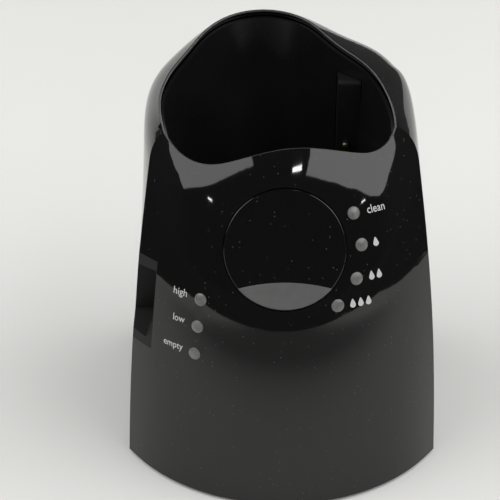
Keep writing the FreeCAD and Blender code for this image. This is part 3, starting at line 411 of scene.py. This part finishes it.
white = Finish("white_plastic")
cream = white.noise(80.0, 3.0)
give(white.surface(Base_Color=white.mix(cream, (0.70, 0.70, 0.68, 1), (0.76, 0.76, 0.75, 1)), Roughness=0.35 + cream * 0.1),
     "pump_impeller", "cartridge_port")

hose = Finish("silicone")
film = hose.noise(200.0, 3.0)
give(hose.surface(Base_Color=hose.mix(film, (0.55, 0.55, 0.52, 1), (0.66, 0.66, 0.63, 1)), Roughness=0.3 + film * 0.1,
                  Transmission_Weight=0.35), "supply_hose")

steel = Finish("steel")
drawn = steel.noise(900.0, 5.0)
give(steel.surface(Base_Color=steel.mix(drawn, grey(0.48), grey(0.58)), Metallic=1.0, Roughness=0.18 + drawn * 0.14),
     "guide_posts", "lift_springs", "pump_motor")

zinc = Finish("zinc_screw")
crystal = zinc.noise(1500.0, 4.0)
give(zinc.surface(Base_Color=zinc.mix(crystal, (0.32, 0.33, 0.35, 1), (0.50, 0.51, 0.53, 1)), Metallic=1.0,
                  Roughness=0.28 + crystal * 0.2), "chassis_screws", "panel_screws")

# ---- Cleaning cartridge
# A blue tub with a welded lid that slides out to the rear. It holds the fluid and a foam filter.
tub = Finish("cartridge_blue")
swirl = tub.noise(45.0, 4.0)
skin = tub.noise(1100.0, 3.0)
give(tub.surface(Base_Color=tub.mix(swirl, (0.012, 0.045, 0.13, 1), (0.018, 0.06, 0.165, 1)), Roughness=0.24 + skin * 0.12,
                 Normal=tub.bump(skin, 0.08, 0.0001)), "cartridge_tub")

lid = Finish("cartridge_lid")
weld = lid.noise(70.0, 4.0)
give(lid.surface(Base_Color=lid.mix(weld, (0.16, 0.26, 0.42, 1), (0.20, 0.31, 0.48, 1)), Roughness=0.2 + weld * 0.15,
                 Transmission_Weight=0.25), "cartridge_lid")

foam = Finish("filter_foam")
cell = foam.node("ShaderNodeTexVoronoi", {"feature": "DISTANCE_TO_EDGE"}, {"Vector": foam.place(), "Scale": 900.0})
give(foam.surface(Base_Color=foam.mix(cell * 3.0, grey(0.35), grey(0.68)), Roughness=0.95,
                  Normal=foam.bump(cell, 0.6, 0.0006)), "filter_pad")

# ---- Rim bead
# The small polished radius on the housing's edge round the opening, moulded with it.
RIM_LOW = 0.130
BEAD_R = 0.00042
edges = bmesh.new()
edges.from_mesh(nodes["outer_shell"].data)
bmesh.ops.remove_doubles(edges, verts=edges.verts[:], dist=1e-6)
sharp = [e for e in edges.edges if len(e.link_faces) == 2 and min(v.co.z for v in e.verts) > RIM_LOW
         and e.calc_face_angle(0.0) > math.radians(50)]
links = {}
for e in sharp:
    for v in e.verts:
        links.setdefault(v, []).append(e)
loops = []
left = set(sharp)
while left:
    e = left.pop()
    loop = [e.verts[0], e.verts[1]]
    while True:
        nexts = [o for o in links[loop[-1]] if o in left]
        if not nexts:
            break
        left.discard(nexts[0])
        loop.append(nexts[0].other_vert(loop[-1]))
    loops.append([v.co.copy() for v in loop])
rim_loop = max(loops, key=lambda points: sum((a - b).length for a, b in zip(points, points[1:])))
edges.free()
print("rim loops", [len(points) for points in loops], len(rim_loop))
bead_curve = bpy.data.curves.new("rim_bead_line", "CURVE")
bead_curve.dimensions = "3D"
bead_curve.bevel_depth = BEAD_R
bead_curve.bevel_resolution = 3
line = bead_curve.splines.new("POLY")
line.points.add(len(rim_loop) - 1)
middle_of_rim = sum(rim_loop, Vector()) / len(rim_loop)
for point, co in zip(line.points, rim_loop):
    inward = Vector((middle_of_rim.x - co.x, middle_of_rim.y - co.y, 0)).normalized()
    point.co = (*(co + inward * BEAD_R - Vector((0, 0, BEAD_R))), 1.0)
line.use_cyclic_u = True
bead_holder = bpy.data.objects.new("rim_bead_line", bead_curve)
bead_mesh = bpy.data.meshes.new_from_object(bead_holder)
bpy.data.objects.remove(bead_holder)
rim_bead = bpy.data.objects.new("rim_bead", bead_mesh)
scene.collection.objects.link(rim_bead)
for face in bead_mesh.polygons:
    face.use_smooth = True
# The bead's grey, lighter than the housing's black, is a painted highlight along the rim, on top of the real gloss
# that its radius catches.
bead = Finish("bead_black")
painted_rim_highlight = bead.noise(150.0, 4.0)
bead_mesh.materials.clear()
bead_mesh.materials.append(bead.surface(Base_Color=bead.mix(painted_rim_highlight, grey(0.02), grey(0.05)), Roughness=0.2 + painted_rim_highlight * 0.15,
                                        Coat_Weight=0.6))
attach(rim_bead, "housing")

# ---- Printed labels
# Light grey ink on the housing beside each lens: words for the levels, and one to three drops for the programmes.
from mathutils.bvhtree import BVHTree
shell_mesh = nodes["outer_shell"].data
skin_tree = BVHTree.FromPolygons([v.co for v in shell_mesh.vertices], [tuple(f.vertices) for f in shell_mesh.polygons])
INK_LIFT = 0.00006
ROUND_MIDDLE = 0.0081          # the round front's centre, from front to back

ink = Finish("label_ink")
blot = ink.noise(1400.0, 4.0)
ink_grey = ink.surface(Base_Color=ink.mix(blot, grey(0.34), grey(0.50)), Roughness=0.5 + blot * 0.15)


def lens_frame(name):
    """The middle of a lens on the skin, with directions to its right, up the skin and out of it."""
    low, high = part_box(name)
    middle = (Vector(low) + Vector(high)) / 2
    out = Vector((middle.x, middle.y - ROUND_MIDDLE, 0.012)).normalized()
    side = Vector((0, 0, 1)).cross(out).normalized()
    spots = []
    for step in (side * -0.0045, side * 0.0045, Vector((0, 0, -0.0045)), Vector((0, 0, 0.0045))):
        hit, _, _, _ = skin_tree.ray_cast(middle + step + out * 0.02, -out)
        spots.append(hit)
    right = (spots[1] - spots[0]).normalized()
    up = (spots[3] - spots[2]).normalized()
    return (spots[0] + spots[1]) / 2, right, up, right.cross(up).normalized()


def print_on(name, flat, faces, lens_name):
    """A thin layer of ink: flat points in metres from the lens middle, laid on the skin."""
    middle, right, up, normal = lens_frame(lens_name)
    laid = []
    for a, b in flat:
        start = middle + right * a + up * b + normal * 0.006
        hit, way, _, _ = skin_tree.ray_cast(start, -normal)
        laid.append(tuple(hit + way * INK_LIFT * (1 if way.dot(normal) > 0 else -1)))
    piece = mesh_piece(name, laid, faces, smooth=False)
    piece.data.materials.append(ink_grey)
    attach(piece, "housing")
    return piece


def word(name, text, size, a, b, lens_name, squeeze):
    """A word in plain letters, its middle at a, b from the lens."""
    curve = bpy.data.curves.new(name + "_letters", "FONT")
    curve.body = text
    curve.size = size
    curve.align_x = "CENTER"
    curve.offset = 0.00003
    curve.resolution_u = 3
    letters = bpy.data.objects.new(name + "_letters", curve)
    mesh = bpy.data.meshes.new_from_object(letters)
    work = bmesh.new()
    work.from_mesh(mesh)
    bmesh.ops.triangulate(work, faces=work.faces[:])
    flat = [(a + v.co.x * squeeze, b - size * 0.27 + v.co.y) for v in work.verts]
    faces = [tuple(v.index for v in f.verts) for f in work.faces]
    work.free()
    bpy.data.meshes.remove(mesh)
    bpy.data.objects.remove(letters)
    bpy.data.curves.remove(curve)
    return print_on(name, flat, faces, lens_name)


def drops(name, count, a, lens_name):
    """A row of drop signs that starts at a to the right of the lens."""
    flat = []
    faces = []
    for i in range(count):
        mid = a + i * 0.0033
        start = len(flat)
        flat.append((mid, 0.0004))
        for k in range(24):
            turn = 2 * math.pi * k / 24
            wide = 0.00118 * math.sin(turn) * (1 if math.cos(turn) < 0 else (1 - math.cos(turn)) ** 0.9 if turn else 0)
            tall = 0.0024 * math.cos(turn) if math.cos(turn) > 0 else 0.00118 * math.cos(turn)
            wide = 0.00118 * math.sin(turn) * (1 - 0.55 * max(math.cos(turn), 0))
            flat.append((mid + wide, -0.0004 + tall))
        faces += [(start, start + 1 + k, start + 1 + (k + 1) % 24) for k in range(24)]
    return print_on(name, flat, faces, lens_name)


word("label_clean", "clean", 0.0046, 0.0090, 0.0004, "lens_clean", 0.84)
word("label_high", "high", 0.0041, -0.0088, 0.0008, "lens_high", 0.97)
word("label_low", "low", 0.0041, -0.0084, 0.0010, "lens_low", 0.90)
word("label_empty", "empty", 0.0041, -0.0099, 0.0008, "lens_empty", 0.90)
drops("drops_short", 1, 0.0058, "lens_short")
drops("drops_normal", 2, 0.0062, "lens_normal")
drops("drops_intensive", 3, 0.0060, "lens_intensive")
